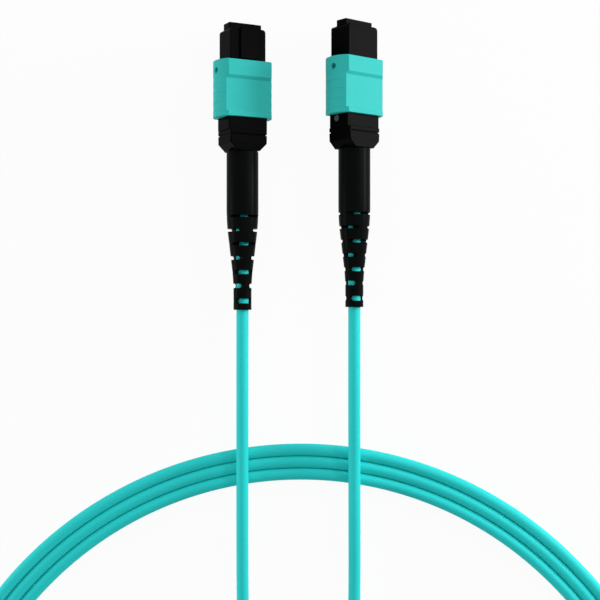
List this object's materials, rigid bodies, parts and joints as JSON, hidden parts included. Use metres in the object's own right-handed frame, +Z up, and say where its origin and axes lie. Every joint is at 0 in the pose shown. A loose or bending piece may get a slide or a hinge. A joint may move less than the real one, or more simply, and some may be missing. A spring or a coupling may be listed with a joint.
{
  "type": "mpo fibre connector patch cord",
  "caption": "Fibre patch cord: two female multi-fibre push-on plugs with pull-back couplings and slotted strain boots, joined by a round aqua cable wound in a flat coil.",
  "frame": {"origin": "on the floor, under the middle of the box that holds the two plugs without their cable", "axes": "+Y along both plugs towards their ferrule faces, +X across from plug a to plug b, +Z up"},
  "size_m": [0.195, 0.2632, 0.0149],
  "materials": {
    "aqua_sleeve": "satin moulded plastic",
    "cable_jacket": "satin extruded jacket",
    "black_plastic": "fine moulded plastic",
    "boot_rubber": "soft moulded rubber",
    "ferrule_resin": "glass-filled moulding resin",
    "keeper_steel": "stamped steel",
    "spring_steel": "drawn spring wire",
    "crimp_metal": "turned and crimped",
    "fibre_coating": "ribbon matrix",
    "marker_white": "painted dot"
  },
  "bodies": {
    "patch_cord": {"plug_a_coupling_spring_left": "spring_steel", "plug_a_coupling_spring_right": "spring_steel", "plug_a_inner_housing": "black_plastic", "plug_a_ferrule_spring": "spring_steel", "plug_a_rear_housing": "black_plastic", "plug_a_crimp_ring": "crimp_metal", "plug_a_strain_boot": "boot_rubber", "plug_a_marker_dot": "marker_white", "plug_b_coupling_spring_left": "spring_steel", "plug_b_coupling_spring_right": "spring_steel", "plug_b_inner_housing": "black_plastic", "plug_b_ferrule_spring": "spring_steel", "plug_b_rear_housing": "black_plastic", "plug_b_crimp_ring": "crimp_metal", "plug_b_strain_boot": "boot_rubber", "plug_b_marker_dot": "marker_white", "lead_a": "cable_jacket", "lead_b": "cable_jacket", "cable_coil": "cable_jacket"},
    "sleeve_a": {"plug_a_coupling": "aqua_sleeve"},
    "ferrule_a": {"plug_a_ferrule": "ferrule_resin", "plug_a_pin_keeper": "keeper_steel", "plug_a_ferrule_boot": "boot_rubber", "plug_a_fibre_ribbon": "fibre_coating"},
    "sleeve_b": {"plug_b_coupling": "aqua_sleeve"},
    "ferrule_b": {"plug_b_ferrule": "ferrule_resin", "plug_b_pin_keeper": "keeper_steel", "plug_b_ferrule_boot": "boot_rubber", "plug_b_fibre_ribbon": "fibre_coating"}
  },
  "joints": [
    {"name": "sleeve_a_pull", "type": "slide", "parent": "patch_cord", "child": "sleeve_a", "axis": [0, -1, 0], "range_m": [0, 0.0018], "stiffness_N_per_m": 800, "springref_m": -0.002, "deforming": ["plug_a_coupling_spring_left", "plug_a_coupling_spring_right"]},
    {"name": "ferrule_a_float", "type": "slide", "parent": "patch_cord", "child": "ferrule_a", "axis": [0, -1, 0], "range_m": [0, 0.0009], "stiffness_N_per_m": 2500, "springref_m": -0.0035, "deforming": ["plug_a_ferrule_spring"]},
    {"name": "sleeve_b_pull", "type": "slide", "parent": "patch_cord", "child": "sleeve_b", "axis": [0, -1, 0], "range_m": [0, 0.0018], "stiffness_N_per_m": 800, "springref_m": -0.002, "deforming": ["plug_b_coupling_spring_left", "plug_b_coupling_spring_right"]},
    {"name": "ferrule_b_float", "type": "slide", "parent": "patch_cord", "child": "ferrule_b", "axis": [0, -1, 0], "range_m": [0, 0.0009], "stiffness_N_per_m": 2500, "springref_m": -0.0035, "deforming": ["plug_b_ferrule_spring"]}
  ]
}
